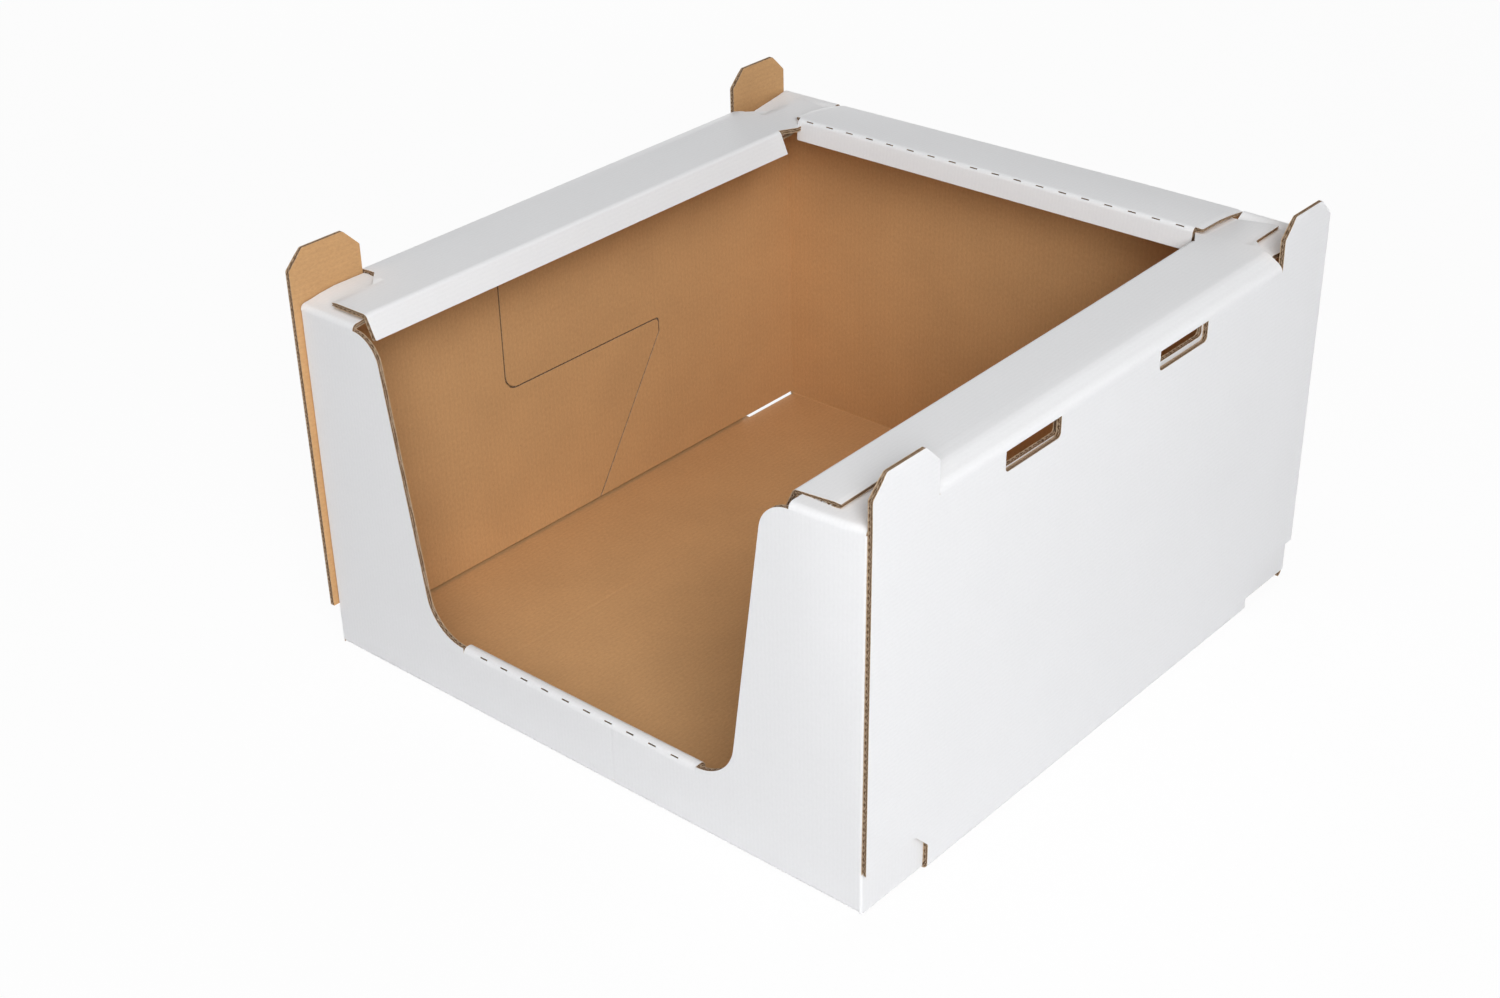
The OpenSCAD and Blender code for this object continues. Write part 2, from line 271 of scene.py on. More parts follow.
def board_layers(build, polys, rows, creases=(), arc_cols=()):
    """All five layers of the board over a region whose flutes run along b.

    creases are (a, half width, depth); arc_cols are columns that the middle sheet needs where it bends.
    """
    lo = min(p[0] for poly in polys for p in poly)
    hi = max(p[0] for poly in polys for p in poly)

    def columns(pitch):
        step = pitch / STEPS
        return np.arange(math.floor(lo / step), math.ceil(hi / step) + 1) * step

    f_cols, e_cols = columns(F_PITCH), columns(E_PITCH)

    def dent(a):
        return sum(d * math.exp(-((a - c) / w) ** 2) for c, w, d in creases)

    def out_face(a, b):
        return -WASH_OUT * (0.5 - 0.5 * math.cos(2 * math.pi * a / F_PITCH)) - dent(a)

    def in_face(a, b):
        return -BOARD + WASH_IN * (0.5 - 0.5 * math.cos(2 * math.pi * a / E_PITCH)) + 0.5 * dent(a)

    f_mid = -LINER - F_ROOM / 2
    f_amp = (F_ROOM - PAPER) / 2
    e_mid = -LINER - F_ROOM - MIDDLE - E_ROOM / 2
    e_amp = (E_ROOM - PAPER) / 2

    def f_wave(a):
        return f_mid + f_amp * math.cos(2 * math.pi * a / F_PITCH) - 0.5 * dent(a)

    def e_wave(a):
        return e_mid - e_amp * math.cos(2 * math.pi * a / E_PITCH)

    build.layer(polys, f_cols, rows, out_face, lambda a, b: out_face(a, b) - LINER, (WHITE, EDGE, EDGE))
    build.layer(polys, f_cols, rows, lambda a, b: f_wave(a) + PAPER / 2, lambda a, b: f_wave(a) - PAPER / 2,
                (SHADED_FLUTE, SHADED_FLUTE, EDGE))
    mid = -LINER - F_ROOM
    build.layer(polys, np.concatenate([f_cols[::MIDDLE_STEP], arc_cols]), rows,
                lambda a, b: mid, lambda a, b: mid - MIDDLE, (SHADED_FLUTE, SHADED_FLUTE, EDGE))
    build.layer(polys, e_cols, rows, lambda a, b: e_wave(a) + PAPER / 2, lambda a, b: e_wave(a) - PAPER / 2,
                (SHADED_FLUTE, SHADED_FLUTE, EDGE))
    build.layer(polys, e_cols, rows, lambda a, b: in_face(a, b) + LINER, in_face, (EDGE, KRAFT, EDGE))


PIECES = []


def panel(name, polys, place, rows=(), creases=(), arc_cols=(), flip=False, sheet=(0.0, 0.0)):
    """One panel of the sheet: place(a, b, n) gives its x, y and z in millimetres."""
    build = Builder()
    board_layers(build, polys, rows, creases, arc_cols)
    a, b, n = (np.array(v) for v in (build.a, build.b, build.n))
    co = np.stack(place(a, b, n), 1) * MM
    mesh = bpy.data.meshes.new(name)
    faces = [f[::-1] for f in build.faces] if flip else build.faces
    mesh.from_pydata(co.tolist(), [], faces)
    mesh.polygons.foreach_set("material_index", np.array(build.mats, np.int32))
    mesh.polygons.foreach_set("use_smooth", np.array(build.smooth, bool))
    uv = mesh.uv_layers.new(name="sheet")
    loops = np.zeros(len(mesh.loops), np.int32)
    mesh.loops.foreach_get("vertex_index", loops)
    flat = np.stack([a[loops] + sheet[0], b[loops] + sheet[1]], 1) / SHEET_MM
    uv.data.foreach_set("uv", flat.ravel().astype(np.float32))
    mesh.update()
    obj = bpy.data.objects.new(name, mesh)
    bpy.context.scene.collection.objects.link(obj)
    PIECES.append(obj)
    return obj


# The small ways in which the folded tray is out of true, in millimetres. In the tables, side 1 is the right.

SLIDE_FOOT = {1: -0.8, -1: -3.0}
SLIDE = {1: 3.1, -1: -4.0}
STRETCH_ENDS = {1: (-2.8, -0.6), -1: (1.4, 2.6)}
# where the rims end, front and back; GAP_X is the inner edge of the gaps beside the tabs
RIM_ENDS = {1: (-188.6, 181.7), -1: (-185.2, 187.8)}
GAP_X = 165.3
# half the back rim's length and its shift in x; how high its inner crease lies
BACK_HALF, BACK_SHIFT = 140.2, -1.3
BACK_CREASE_LIFT = 4.8


def side_slide(side, z):
    """How far a side wall is pushed back, by height."""
    return np.interp(z, [0, TRAY_H], [SLIDE_FOOT[side], SLIDE[side]])


def side_stretch(side, y):
    """How much higher a side wall's top lies, by y."""
    return np.interp(y, [-HALF_L, HALF_L], STRETCH_ENDS[side])


def rim_lift(side, y, share):
    """How much higher the side rim lies; share is 0 at the tabs' gap and 1 at the inner crease."""
    if side > 0:
        outer = np.interp(y, [-186, -157, 157, 184], [0.0, 0.8, 4.8, 5.6])
        inner = np.interp(y, [-184, 56, 140, 150, 184], [-2.0, 2.6, 4.7, 4.4, 2.5])
    else:
        outer = np.interp(y, [-188, 160, 184], [1.9, 5.0, 5.2])
        inner = np.interp(y, [-190, 133, 148, 184], [2.0, 3.9, 4.0, 1.4])
    return outer + (inner - outer) * share


def back_lift(x):
    """How much higher the back wall's top fold lies."""
    return np.interp(x, [-187, -148, 81, 140, 187], [0.15, 0.15, 1.8, 1.7, 0.9])


def eased(t):
    """A smooth step from 0 to 1."""
    return t * t * (3 - 2 * t)


def pressed(n, share, from_edge, reach=2.5):
    """The board squeezed towards its middle by a share at an edge that the die cut along the flutes."""
    return -BOARD / 2 + (n + BOARD / 2) * (1 - share * np.exp(-(from_edge / reach) ** 2))


# Outlines

# the foot of a rim's lip is slit, and behind it the rim runs on flat to RIM_RAW past the crease
RIM_RAW, RIM_SLIT = 6.3, 11.0
# the hole behind the right front slot is this much larger than the slot, all round
LOW_HOLE = 1.6
# the corner flaps start FLAP_SWELL past the wall and narrow by FLAP_TAPER over FLAP_RUN
FLAP_SWELL, FLAP_TAPER, FLAP_RUN = 0.8, 5.0, 34.0
NOTCH_EDGE = TAB_Y + 3.0
CORNER_COLS = [WALL_X + CORNER_ARC * k / 6 for k in range(7)]
CORNER_COLS += [-a for a in CORNER_COLS]


def every(step, lo, hi):
    return list(np.arange(math.ceil(lo / step) * step, hi, step))


def slot(y, smaller=0.0, top=SHOULDER_Z + 3.0):
    half = SLOT_L / 2 - smaller
    z0 = FLAP_TOP - SLOT_H + smaller
    return rounded([(y - half, z0), (y + half, z0), (y + half, top), (y - half, top)], [SLOT_R, SLOT_R, 0, 0])


def side_outline():
    """The outer side wall in y and z, with its tabs at the top and its notches at the foot."""
    t = TRAY_H + TAB_H
    z0, zr = FOLD_O, TRAY_H - FOLD_O
    half = [(NOTCH_Y, z0), (NOTCH_Y, NOTCH_H - TAB_BEVEL), (NOTCH_Y + TAB_BEVEL, NOTCH_H), (HALF_L, NOTCH_H),
            (HALF_L, t - TAB_BEVEL), (HALF_L - TAB_BEVEL, t), (TAB_Y + TAB_BEVEL, t), (TAB_Y, t - TAB_BEVEL),
            (TAB_Y, zr)]
    radii = [0, TAB_R, TAB_R, 0, TAB_R, TAB_R, TAB_R, TAB_R, 0]
    return rounded(half + [(-y, z) for y, z in half[::-1]], radii + radii[::-1])


def die_cut(gap):
    """The line between the front and the back inner flaps, in y and z, moved by gap; it is not closed."""
    return [(CUT_FOOT_Y + 1.2 * gap, IN_LOW), (CUT_BACK_Y + gap, CUT_MID_Z - CUT_DROP),
            (CUT_BACK_Y + gap, CUT_MID_Z + gap), (CUT_FRONT_Y + gap, CUT_MID_Z + gap),
            (CUT_FRONT_Y + gap, IN_TOP)]


def rim_outline(side):
    """The rim and its lip, in a, the way from the side wall's top over the fold, and in y."""
    to_lip = ARC + (RIM_W - 2 * FOLD_O)
    lip_arc = FOLD_O * math.radians(90 - LIP_LEAN)
    end = to_lip + lip_arc + LIP_LEN
    yf, yb = RIM_ENDS[side]
    gap = ARC + (HALF_W - FOLD_O) - GAP_X
    y_lip = HALF_L - LIP_BACK
    raw = to_lip + RIM_RAW
    return rounded(
        [(0, -TAB_Y + LAYER_GAP), (gap - TAB_BEVEL, -TAB_Y + LAYER_GAP), (gap, -TAB_Y - TAB_BEVEL), (gap, yf),
         (end, yf), (end, y_lip), (to_lip + 0.3, y_lip + 0.4), (raw, y_lip + RIM_SLIT), (raw, yb),
         (gap, yb), (gap, TAB_Y + TAB_BEVEL), (gap - TAB_BEVEL, TAB_Y - LAYER_GAP), (0, TAB_Y - LAYER_GAP)],
        [0, TAB_R, TAB_R, 0, 0.8, 0.3, 0, 0.8, 0.8, 0, TAB_R, TAB_R, 0])


def slits(half, b):
    """The perforation of a crease at b, between a = -half and a = half."""
    count = int(2 * half // SLIT_PITCH)
    middles = [(i - (count - 1) / 2) * SLIT_PITCH for i in range(count)]
    return [rect(a - SLIT_L / 2, a + SLIT_L / 2, b - SLIT_W / 2, b + SLIT_W / 2) for a in middles]


def arc_rows(start, angle=90.0, steps=6):
    """Where a bend of the board is cut into rows."""
    length = FOLD_O * math.radians(angle)
    return [start + length * k / steps for k in range(steps + 1)]


def clip_right(points, edge):
    """Keeps the part of an outline with a <= edge (the outline is convex)."""
    out = []
    n = len(points)
    for i in range(n):
        p, q = points[i], points[(i + 1) % n]
        if p[0] <= edge:
            out.append(p)
        if (p[0] - edge) * (q[0] - edge) < 0:
            t = (edge - p[0]) / (q[0] - p[0])
            out.append((edge, p[1] + t * (q[1] - p[1])))
    return out


# Panels

def end_foot_fold(name, end, sheet):
    """The fold between the floor and the front wall (end -1) or the back wall (end 1)."""
    foot = Path((HALF_L - FOLD_O, 0), 0, [("arc", 90)])

    def place(a, b, n):
        u, z = foot.at(b, n)
        return a, end * u, z

    panel(name, [rect(-WALL_X, WALL_X, 0, ARC)], place, arc_rows(0), flip=end > 0, sheet=sheet)


def build_floor():
    outline = [(-CORNER_X, -HALF_L + FOLD_O), (CORNER_X, -HALF_L + FOLD_O), (CORNER_X, -NOTCH_Y),
               (HALF_W - FOLD_O, -NOTCH_Y), (HALF_W - FOLD_O, NOTCH_Y), (CORNER_X, NOTCH_Y),
               (CORNER_X, HALF_L - FOLD_O), (-CORNER_X, HALF_L - FOLD_O), (-CORNER_X, NOTCH_Y),
               (-HALF_W + FOLD_O, NOTCH_Y), (-HALF_W + FOLD_O, -NOTCH_Y), (-CORNER_X, -NOTCH_Y)]
    panel("floor_panel", [outline], lambda a, b, n: (a, b, -n), every(40, -HALF_L, HALF_L),
          creases=[(-98, 0.9, 0.2), (11, 0.9, 0.2)], flip=True)


def build_side(side):
    tag = "right" if side > 0 else "left"
    rows = every(30, -HALF_L, HALF_L)

    def outer(a, b, n):
        n = pressed(n, 0.25, a - TRAY_H - TAB_H)
        return side * (HALF_W + n), b + side_slide(side, a), a * (1 + side_stretch(side, b) / TRAY_H)

    front, back = SLOT_FRONT_Y - SLIDE[side], SLOT_BACK_Y - SLIDE[side]
    panel(f"side_{tag}", [swapped(side_outline()), swapped(slot(front)), swapped(slot(back))], outer, rows,
          flip=side > 0, sheet=(0, 50))

    foot = Path((HALF_W - FOLD_O, 0), 0, [("arc", 90)])

    def fold(a, b, n):
        u, z = foot.at(a, n)
        return side * u, b + side_slide(side, z), z

    panel(f"foot_fold_{tag}", [rect(0, ARC, -NOTCH_Y, NOTCH_Y)], fold, rows, flip=side > 0,
          arc_cols=arc_rows(0))

    to_lip = ARC + (RIM_W - 2 * FOLD_O)
    gap = ARC + (HALF_W - FOLD_O) - GAP_X
    top = Path((HALF_W, TRAY_H - FOLD_O), 90,
               [("arc", 90), ("line", RIM_W - 2 * FOLD_O), ("arc", 90 - LIP_LEAN), ("line", LIP_LEN)])
    bend = Path((HALF_W, TRAY_H - FOLD_O), 90, [("arc", 90), ("line", 1.0)])

    def rim(a, b, n):
        n = pressed(n, np.clip((np.abs(b) - NOTCH_EDGE) / 0.8, 0, 1) * 0.35, a - gap)
        u, z = top.at(a, n)
        flat_u, flat_z = bend.at(a, n)
        beyond = (b > HALF_L - LIP_BACK + 0.7) & (a > to_lip)
        u, z = np.where(beyond, flat_u, u), np.where(beyond, flat_z, z)
        y = b + SLIDE[side]
        rise = eased(np.clip(a / (ARC + 9.0), 0, 1))
        share = np.clip((a - gap) / (to_lip - gap), -0.2, 1)
        stretch = side_stretch(side, b) * (1 - rise)
        return side * u, y, z + rise * rim_lift(side, y, share) + stretch

    notch_rows = [NOTCH_EDGE, NOTCH_EDGE + 0.8, -NOTCH_EDGE, -NOTCH_EDGE - 0.8]
    rise_cols = [ARC + 3.0, ARC + 6.0, ARC + 9.0]
    panel(f"rim_{tag}", [rim_outline(side)], rim, rows + [HALF_L - LIP_BACK + 1.4] + notch_rows,
          arc_cols=arc_rows(0) + rise_cols + arc_rows(to_lip, 90 - LIP_LEAN), flip=side > 0, sheet=(0, 90))


def ring(end):
    """The way round a front or back wall: a is x on the wall, and runs on along the side flaps."""
    flap = 2 * HALF_L
    path = Path((-IN_X, flap - HALF_L), -90, [("line", flap - CORNER_R), ("arc", 90), ("line", 2 * WALL_X),
                                              ("arc", 90), ("line", flap)], CORNER_R)
    zero = flap - CORNER_R + CORNER_ARC + WALL_X

    def place(a, b, n):
        u, v = path.at(a + zero, n)
        return u, -end * v, b
    return place


def both(points):
    """An outline and its mirror image."""
    return [points, [(-a, b) for a, b in points]]


def slid_corner(x, z):
    """How far the front wall's right end is pushed back with the right side wall."""
    near = 40.0
    share = np.clip((x - (WALL_X - near)) / near, 0, 1)
    return share * share * np.maximum(side_slide(1, z), 0.0)


def build_front():
    opening = rounded([(-WALL_X, SHOULDER_Z), (-SHOULDER_X, SHOULDER_Z), (-LOW_X, SILL_H),
                       (LOW_X, SILL_H), (SHOULDER_X, SHOULDER_Z), (WALL_X, SHOULDER_Z)],
                      [0, SHOULDER_R, LOW_R, LOW_R, SHOULDER_R, 0], 24)
    low = SILL_H - FOLD_O
    # the sill's straight stretch stops at its fold
    k = next(i for i, p in enumerate(opening) if abs(p[1] - SILL_H) < 1e-6 and p[0] < 0)
    opening = opening[:k + 1] + [(-SILL_HALF, low), (SILL_HALF, low)] + opening[k + 1:]
    wall = [(-WALL_X, FOLD_O)] + opening + [(WALL_X, FOLD_O)]
    arc = rect(WALL_X, WALL_X + CORNER_ARC, FOOT_LIFT, SHOULDER_Z)
    line = rounded(die_cut(0.0) + [(-HALF_L + CORNER_R, IN_TOP), (-HALF_L + CORNER_R, FOOT_LIFT),
                                   (-TAB_Y, FOOT_LIFT), (-TAB_Y, IN_LOW)],
                   [0, 0, CUT_R / 3, CUT_R, 0, 0, 0, 0, 0])

    def on_flap(points):
        return [(WALL_X + CORNER_ARC + (y + HALF_L - CORNER_R), min(z, IN_TOP)) for y, z in points]

    edge = on_flap([(CUT_FRONT_Y, 0.0)])[0][0]
    low_hole, hole = (clip_right(on_flap(slot(SLOT_FRONT_Y, smaller)), edge) for smaller in (-LOW_HOLE, SLOT_STEP))
    polys = [wall] + both(arc) + both(on_flap(line)) + [low_hole, [(-a, b) for a, b in hole]]
    round_front = ring(-1)

    def place(a, b, n):
        x, y, z = round_front(a, b, n)
        return x, y + slid_corner(a, z), z

    panel("front_wall", polys, place, every(25, 0, 200), creases=[(25, 1.0, 0.12)], arc_cols=CORNER_COLS)
    end_foot_fold("front_foot_fold", -1, (0, 10))

    top = Path((HALF_L, SHOULDER_Z), 90, [("arc", 90), ("line", FLAP_D)])

    def corner(a, b, n):
        u, z = top.at(b, n)
        left = np.interp(b - ARC, [0, 4, 10, 20, 42], [0.0, 0.5, 1.6, 2.6, 2.6])
        rise = np.where(a < 0, left, 0.4 * np.clip((b - ARC) / 42.0, 0, 1.2))
        return a, -u + slid_corner(a, z), z + rise

    deep = ARC + FLAP_D - FOLD_O
    wide, narrow = WALL_X + FLAP_SWELL, WALL_X - FLAP_TAPER
    right_flap = [(FLAP_X, 0), (wide, 0), (wide, ARC), (narrow, ARC + FLAP_RUN), (narrow, deep), (FLAP_X, deep)]
    left_flap = [(-FLAP_X, 0), (-FLAP_X, deep), (-wide, deep), (-wide, 0)]
    panel("front_corner_flaps", [right_flap, left_flap], corner,
          arc_rows(0) + [ARC + w for w in (2, 4, 7, 10, 15, 20, 30, 42)], sheet=(0, 30))

    down = SILL_H - FOLD_O - BOARD - LAYER_GAP
    roll = Path((HALF_L, SILL_H - FOLD_O), 90, [("arc", 90), ("line", SILL_FLAT), ("arc", 90), ("line", down)])

    def sill(a, b, n):
        u, z = roll.at(b, n)
        return a, -u, z

    far = ARC + SILL_FLAT
    panel("sill_roll", [rect(-SILL_HALF, SILL_HALF, 0, far + ARC + down)] + slits(SILL_HALF, ARC / 2), sill,
          arc_rows(0) + arc_rows(far) + [far + ARC + 12], sheet=(0, 60))


def build_back():
    raised = BACK_TOP - FOLD_O
    inner, outer = BACK_HALF, BACK_HALF + FLAP_SLIT / 2
    wall = [(-WALL_X, FOLD_O), (-WALL_X, raised), (WALL_X, raised), (WALL_X, FOLD_O)]
    arc = rect(WALL_X, WALL_X + CORNER_ARC, IN_LOW, SHOULDER_Z)
    line = rounded(die_cut(FLAP_CUT) + [(HALF_L - CORNER_R, IN_TOP), (HALF_L - CORNER_R, IN_LOW)],
                   [0, 0, CUT_R / 3, CUT_R, 0, 0, 0])
    base = WALL_X + CORNER_ARC + HALF_L - CORNER_R

    def on_flap(points):
        return [(base - y, min(z, IN_TOP)) for y, z in points]

    edge = base - (CUT_FRONT_Y + FLAP_CUT)
    low_hole, hole = (clip_right(on_flap(slot(SLOT_FRONT_Y, smaller)), edge) for smaller in (-LOW_HOLE, SLOT_STEP))
    back_hole = on_flap(slot(SLOT_BACK_Y, SLOT_STEP))
    crease = base - 64.5
    polys = [wall] + both(arc) + both(on_flap(line)) + [low_hole, [(-a, b) for a, b in hole]] + both(back_hole)
    round_back = ring(1)

    def place(a, b, n):
        x, y, z = round_back(a, b, n)
        on_wall = np.abs(a) <= WALL_X
        return x, y, z + np.where(on_wall, back_lift(a) * np.clip((z - 100) / 110, 0, 1), 0.0)

    panel("back_wall", polys, place, every(50, 0, 200),
          creases=[(-76, 0.9, 0.15), (10, 0.9, 0.15), (crease, 0.9, 0.15), (-crease, 0.9, 0.15)],
          arc_cols=CORNER_COLS, flip=True, sheet=(900, 0))
    end_foot_fold("back_foot_fold", 1, (900, 10))

    top = Path((HALF_L, raised), 90, [("arc", 90), ("line", FLAP_D)])

    def corner(a, b, n):
        u, z = top.at(b, n)
        way, right = b - ARC, a > 0
        ends = [BACK_HALF, GAP_X]
        # the flap dips behind the rim's end, then runs down under the side rim
        at_rim = np.where(right, np.interp(np.abs(a), ends, [3.0, 1.7]), np.interp(np.abs(a), ends, [2.6, 0.4]))
        at_rim = at_rim * eased(np.clip(way / 6.5, 0, 1))
        to_middle = np.clip((way - 6.5) / 28.0, 0, 1)
        middle = np.where(right, 3.2, 1.3)
        under = np.interp(way, [35.0, 44.0, FLAP_D], [0.0, 3.0, 3.6])
        return a, u, z + back_lift(a) - at_rim * (1 - to_middle) - middle * to_middle - under

    deep = ARC + FLAP_D - FOLD_O
    wide, narrow = WALL_X + FLAP_SWELL, WALL_X - FLAP_TAPER
    right_end, left_end = outer + BACK_SHIFT, -outer + BACK_SHIFT
    right_flap = [(right_end, 0), (wide, 0), (wide, ARC), (narrow, ARC + FLAP_RUN), (narrow, deep), (right_end, deep)]
    left_flap = [(-wide, 0), (left_end, 0), (left_end, deep), (-narrow, deep), (-narrow, ARC + FLAP_RUN), (-wide, ARC)]
    panel("back_corner_flaps", [right_flap, left_flap], corner,
          arc_rows(0) + [ARC + w for w in (1.5, 3, 4.5, 6.5, 10, 15, 20, 27, 35, 39, 44, 50)], flip=True,
          sheet=(900, 30))

    flat = BACK_RIM_D - 2 * FOLD_O
    far = ARC + flat
    bend = 90 - BACK_LIP_LEAN
    end = far + FOLD_O * math.radians(bend) + BACK_LIP_LEN
    roll = Path((HALF_L, raised), 90, [("arc", 90), ("line", flat), ("arc", bend), ("line", BACK_LIP_LEN)])
    lip = inner - BACK_LIP_IN
    outline = [(-inner, 0), (inner, 0), (inner, far), (lip, far + 0.5),
               (lip - 0.5, end), (-lip + 0.5, end), (-lip, far + 0.5), (-inner, far)]
    outline = rounded(outline, [0, 0, 1.5, 0, 1.2, 1.2, 0, 1.5])

    def rim(a, b, n):
        n = pressed(n, 0.45, np.abs(a) - inner)
        u, z = roll.at(b, n)
        x = a + BACK_SHIFT
        share = np.clip((b - ARC) / flat, 0, 1)
        return x, u, z + back_lift(x) * (1 - share) + BACK_CREASE_LIFT * (1 - (1 - share) ** 2)

    panel("back_rim", [outline] + slits(lip, far + FOLD_O * math.radians(bend) / 2), rim,
          arc_rows(0) + [ARC + 12, ARC + 24] + arc_rows(far, bend), flip=True, sheet=(900, 60))


# Materials

def node(tree, kind, **values):
    """A new shader node; each value goes to the input of that name, or else to the property."""
    n = tree.nodes.new(kind)
    for key, value in values.items():
        if key in n.inputs.keys():
            n.inputs[key].default_value = value
        else:
            setattr(n, key, value)
    return n


def board_material(name, base, dark, light, rough, shade_line_pitch, shade_line_depth, fibre, speck, bump):
    """Paper liner: fibres along the flutes, flecks, mottling and faint lines of painted shade over the flutes."""
    mat = bpy.data.materials.new(name)
    mat.use_nodes = True
    t = mat.node_tree
    t.nodes.clear()
    out = node(t, "ShaderNodeOutputMaterial")
    shader = node(t, "ShaderNodeBsdfPrincipled", Roughness=rough)
    shader.inputs["Specular IOR Level"].default_value = 0.25
    uv = node(t, "ShaderNodeUVMap", uv_map="sheet")
    scale = node(t, "ShaderNodeMapping")
    scale.inputs["Scale"].default_value = (1.0, 0.5, 1.0)
    t.links.new(uv.outputs["UV"], scale.inputs["Vector"])
    fibres = node(t, "ShaderNodeTexNoise", Scale=90.0, Detail=6.0, Roughness=0.65)
    t.links.new(scale.outputs["Vector"], fibres.inputs["Vector"])
    mottle = node(t, "ShaderNodeTexNoise", Scale=2.2, Detail=5.0, Roughness=0.55)
    t.links.new(uv.outputs["UV"], mottle.inputs["Vector"])
    flecks = node(t, "ShaderNodeTexNoise", Scale=42.0, Detail=3.0, Roughness=0.7)
    t.links.new(uv.outputs["UV"], flecks.inputs["Vector"])
    split = node(t, "ShaderNodeSeparateXYZ")
    t.links.new(uv.outputs["UV"], split.inputs["Vector"])
    wave = node(t, "ShaderNodeMath", operation="MULTIPLY")
    wave.inputs[1].default_value = 2 * math.pi * SHEET_MM / shade_line_pitch
    t.links.new(split.outputs["X"], wave.inputs[0])
    line = node(t, "ShaderNodeMath", operation="COSINE")
    t.links.new(wave.outputs[0], line.inputs[0])

    def ramp(source, stops):
        r = node(t, "ShaderNodeValToRGB")
        while len(r.color_ramp.elements) < len(stops):
            r.color_ramp.elements.new(0.5)
        for e, (pos, value) in zip(r.color_ramp.elements, stops):
            e.position = pos
            e.color = (*value, 1.0) if isinstance(value, tuple) else (value, value, value, 1.0)
        t.links.new(source, r.inputs["Fac"])
        return r.outputs["Color"]

    def blend(mode, factor, a, b):
        m = node(t, "ShaderNodeMix", data_type="RGBA", blend_type=mode)
        m.inputs["Factor"].default_value = factor
        t.links.new(a, m.inputs["A"])
        t.links.new(b, m.inputs["B"])
        return m.outputs["Result"]

    colour = ramp(fibres.outputs["Fac"], [(0.32, dark), (0.5, base), (0.7, light)])
    colour = blend("MULTIPLY", 1.0, colour, ramp(mottle.outputs["Fac"], [(0.25, 1.0 - fibre), (0.75, 1.0)]))
    colour = blend("MULTIPLY", 1.0, colour, ramp(flecks.outputs["Fac"], [(0.27, 1.0 - speck), (0.36, 1.0)]))
    # painted shade: the colour is darkened in faint lines at the flute pitch, standing for the shade of the liner's
    # dips between the flutes
    shade_line_factor = node(t, "ShaderNodeMapRange")
    shade_line_factor.inputs["From Min"].default_value = -1.0
    shade_line_factor.inputs["To Min"].default_value = 1.0 - shade_line_depth
    t.links.new(line.outputs[0], shade_line_factor.inputs["Value"])
    grey = node(t, "ShaderNodeCombineColor")
    for channel in ("Red", "Green", "Blue"):
        t.links.new(shade_line_factor.outputs["Result"], grey.inputs[channel])
    colour = blend("MULTIPLY", 1.0, colour, grey.outputs["Color"])
    t.links.new(colour, shader.inputs["Base Color"])
    relief = node(t, "ShaderNodeBump", Strength=bump, Distance=0.00006)
    t.links.new(fibres.outputs["Fac"], relief.inputs["Height"])
    t.links.new(relief.outputs["Normal"], shader.inputs["Normal"])
    t.links.new(shader.outputs["BSDF"], out.inputs["Surface"])
    return mat


def seen_share(tree, share):
    """share for the rays that see a background: camera, glossy and transmission rays; 0 for the others."""
    ray = node(tree, "ShaderNodeLightPath")
    value = ray.outputs["Is Camera Ray"]
    for other in ("Is Glossy Ray", "Is Transmission Ray"):
        either = node(tree, "ShaderNodeMath", operation="MAXIMUM")
        tree.links.new(value, either.inputs[0])
        tree.links.new(ray.outputs[other], either.inputs[1])
        value = either.outputs[0]
    scaled = node(tree, "ShaderNodeMath", operation="MULTIPLY")
    tree.links.new(value, scaled.inputs[0])
    scaled.inputs[1].default_value = share
    return scaled.outputs[0]


def stage_material(name, see_white):
    """Pale floor: the camera sees mostly white, with the shadow kept."""
    mat = bpy.data.materials.new(name)
    mat.use_nodes = True
    t = mat.node_tree
    t.nodes.clear()
    out = node(t, "ShaderNodeOutputMaterial")
    diffuse = node(t, "ShaderNodeBsdfDiffuse", Color=(0.86, 0.86, 0.87, 1.0))
    glow = node(t, "ShaderNodeEmission", Color=(1.0, 1.0, 1.0, 1.0), Strength=1.0)
    mix = node(t, "ShaderNodeMixShader")
    t.links.new(seen_share(t, see_white), mix.inputs["Fac"])
    t.links.new(diffuse.outputs["BSDF"], mix.inputs[1])
    t.links.new(glow.outputs["Emission"], mix.inputs[2])
    t.links.new(mix.outputs["Shader"], out.inputs["Surface"])
    return mat


# the line depth and pitch values below set the painted shade lines over the flutes
white = board_material("white_liner", (0.812, 0.815, 0.826), (0.797, 0.80, 0.811), (0.827, 0.83, 0.841),
                       rough=0.8, shade_line_pitch=F_PITCH, shade_line_depth=0.012, fibre=0.015, speck=0.012, bump=0.2)
kraft = board_material("kraft_liner", (0.605, 0.350, 0.160), (0.56, 0.318, 0.143), (0.65, 0.383, 0.180),
                       rough=0.8, shade_line_pitch=E_PITCH, shade_line_depth=0.03, fibre=0.10, speck=0.14, bump=0.35)
edge = board_material("kraft_cut_edge", (0.54, 0.39, 0.26), (0.42, 0.29, 0.18), (0.68, 0.52, 0.37),
                      rough=0.9, shade_line_pitch=F_PITCH, shade_line_depth=0.0, fibre=0.10, speck=0.2, bump=0.6)
# painted shade: the fluting paper, seen only inside the channels, gets a brown far darker than its own kraft cut edge,
# for the shade in the flute channels
flute = board_material("flute_painted_shade", (0.18, 0.105, 0.055), (0.15, 0.085, 0.045), (0.22, 0.13, 0.07),
                       rough=0.9, shade_line_pitch=F_PITCH, shade_line_depth=0.0, fibre=0.10, speck=0.2, bump=0.6)

build_floor()
for s in (1, -1):
    build_side(s)
build_front()
build_back()

for piece in PIECES:
    for mat in (white, kraft, edge, flute):
        piece.data.materials.append(mat)
    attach(piece, "root")
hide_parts("tray")

# Floor, light and camera

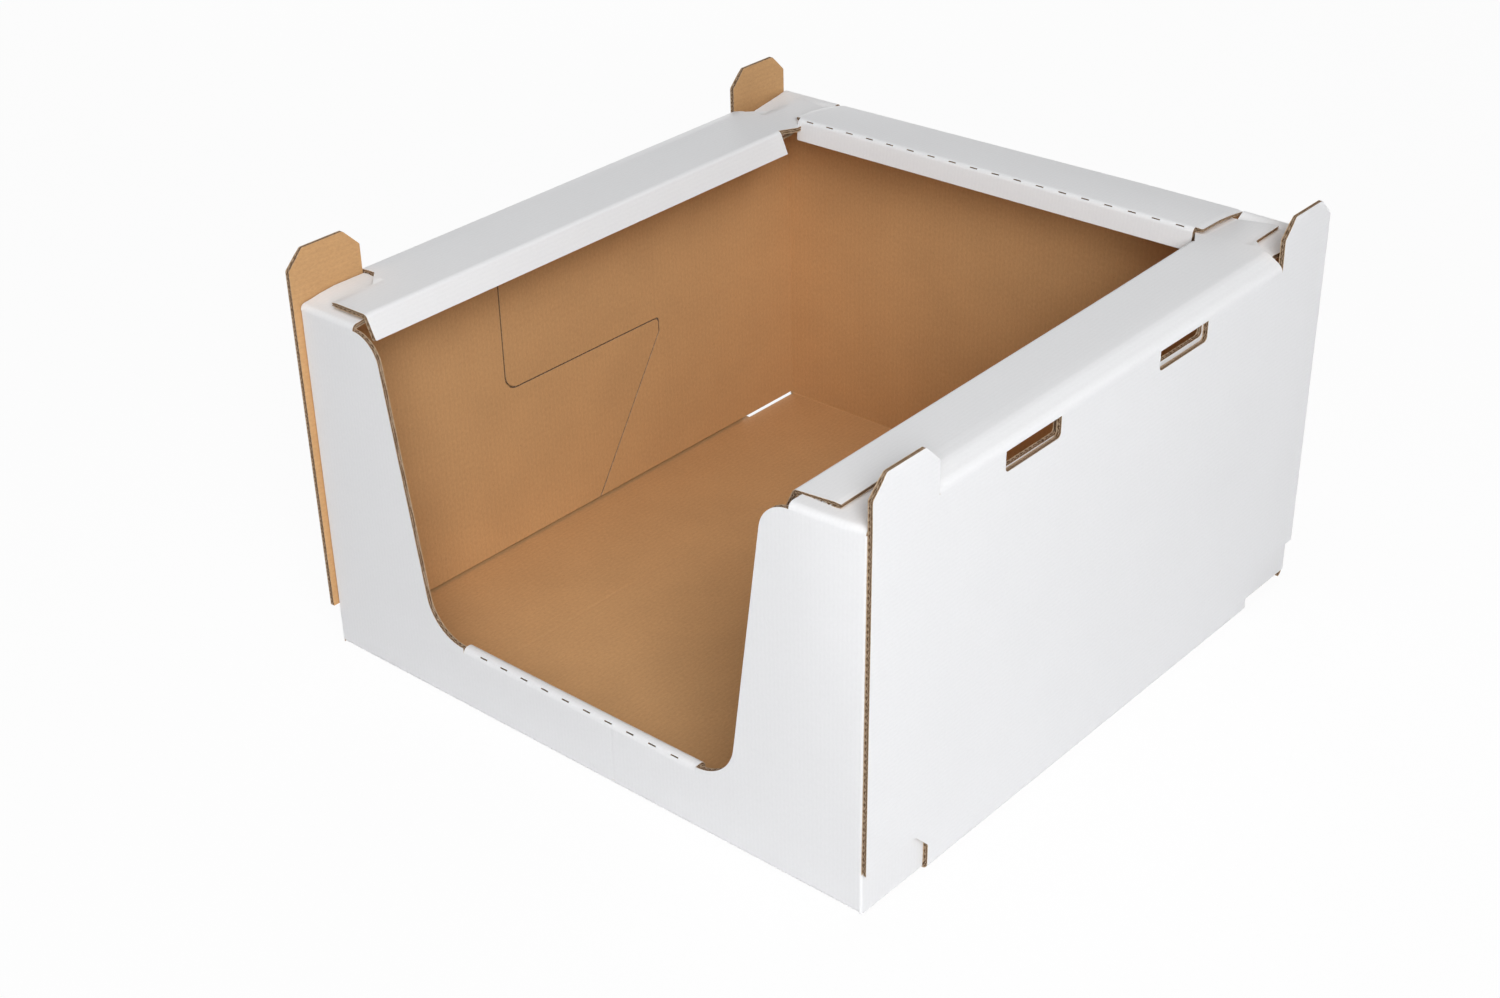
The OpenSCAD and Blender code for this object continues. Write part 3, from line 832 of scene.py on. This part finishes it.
floor_mesh = bpy.data.meshes.new("stage_floor")
reach, below = 6.0, -0.0002
floor_mesh.from_pydata([(-reach, -reach, below), (reach, -reach, below), (reach, reach, below),
                        (-reach, reach, below)], [], [(0, 1, 2, 3)])
stage = bpy.data.objects.new("stage_floor", floor_mesh)
bpy.context.scene.collection.objects.link(stage)
floor_mesh.materials.append(stage_material("stage_floor", 0.94))

world = bpy.data.worlds.new("studio")
bpy.context.scene.world = world
world.use_nodes = True
wt = world.node_tree
wt.nodes.clear()
w_out = node(wt, "ShaderNodeOutputWorld")
fill = node(wt, "ShaderNodeBackground", Color=(1.0, 1.0, 1.0, 1.0), Strength=0.08)
white_sky = node(wt, "ShaderNodeBackground", Color=(1.0, 1.0, 1.0, 1.0), Strength=1.0)
w_mix = node(wt, "ShaderNodeMixShader")
wt.links.new(seen_share(wt, 1.0), w_mix.inputs["Fac"])
wt.links.new(fill.outputs["Background"], w_mix.inputs[1])
wt.links.new(white_sky.outputs["Background"], w_mix.inputs[2])
wt.links.new(w_mix.outputs["Shader"], w_out.inputs["Surface"])


def lamp(name, place, aim, size, power):
    """A square area lamp in metres and watts, turned to its aim."""
    data = bpy.data.lights.new(name, "AREA")
    data.shape = "SQUARE"
    data.size = size
    data.energy = power
    obj = bpy.data.objects.new(name, data)
    obj.location = place
    obj.rotation_euler = (Vector(aim) - Vector(place)).to_track_quat("-Z", "Y").to_euler()
    bpy.context.scene.collection.objects.link(obj)


lamp("key", (1.6, -1.57, 1.30), (0, 0, 0.1), 1.1, 40.0)
lamp("side", (1.76, -1.12, 1.94), (0, 0, 0.1), 1.1, 22.0)
lamp("top", (0.0, -0.39, 2.83), (0, 0, 0.1), 1.5, 16.5)
lamp("rear", (-1.75, 1.65, 0.3), (0, 0, 0.1), 0.6, 28.0)

# The camera, fitted to the photo: a rotation vector and a focal length in pixels of a 1500-pixel-wide picture
ROTATION = (1.9912121785301191, 0.7288729511160472, -0.4522482444461028)
EYE = (0.6942, -0.8394, 0.6913)
FOCAL_PX, WIDE_PX, SENSOR = 2268.22, 1500.0, 36.0
angle = math.sqrt(sum(r * r for r in ROTATION))
turned = Matrix.Rotation(angle, 3, Vector(ROTATION))
right, down, forward = (Vector(turned[i]) for i in range(3))
cam_data = bpy.data.cameras.new("photo_camera")
cam_data.sensor_width = SENSOR
cam_data.lens = FOCAL_PX / WIDE_PX * SENSOR
cam_data.clip_start = 0.01
cam = bpy.data.objects.new("photo_camera", cam_data)
cam.matrix_world = Matrix((
    (right.x, -down.x, -forward.x, EYE[0]),
    (right.y, -down.y, -forward.y, EYE[1]),
    (right.z, -down.z, -forward.z, EYE[2]),
    (0, 0, 0, 1)))
bpy.context.scene.collection.objects.link(cam)
bpy.context.scene.camera = cam
bpy.context.scene.view_settings.view_transform = "Standard"
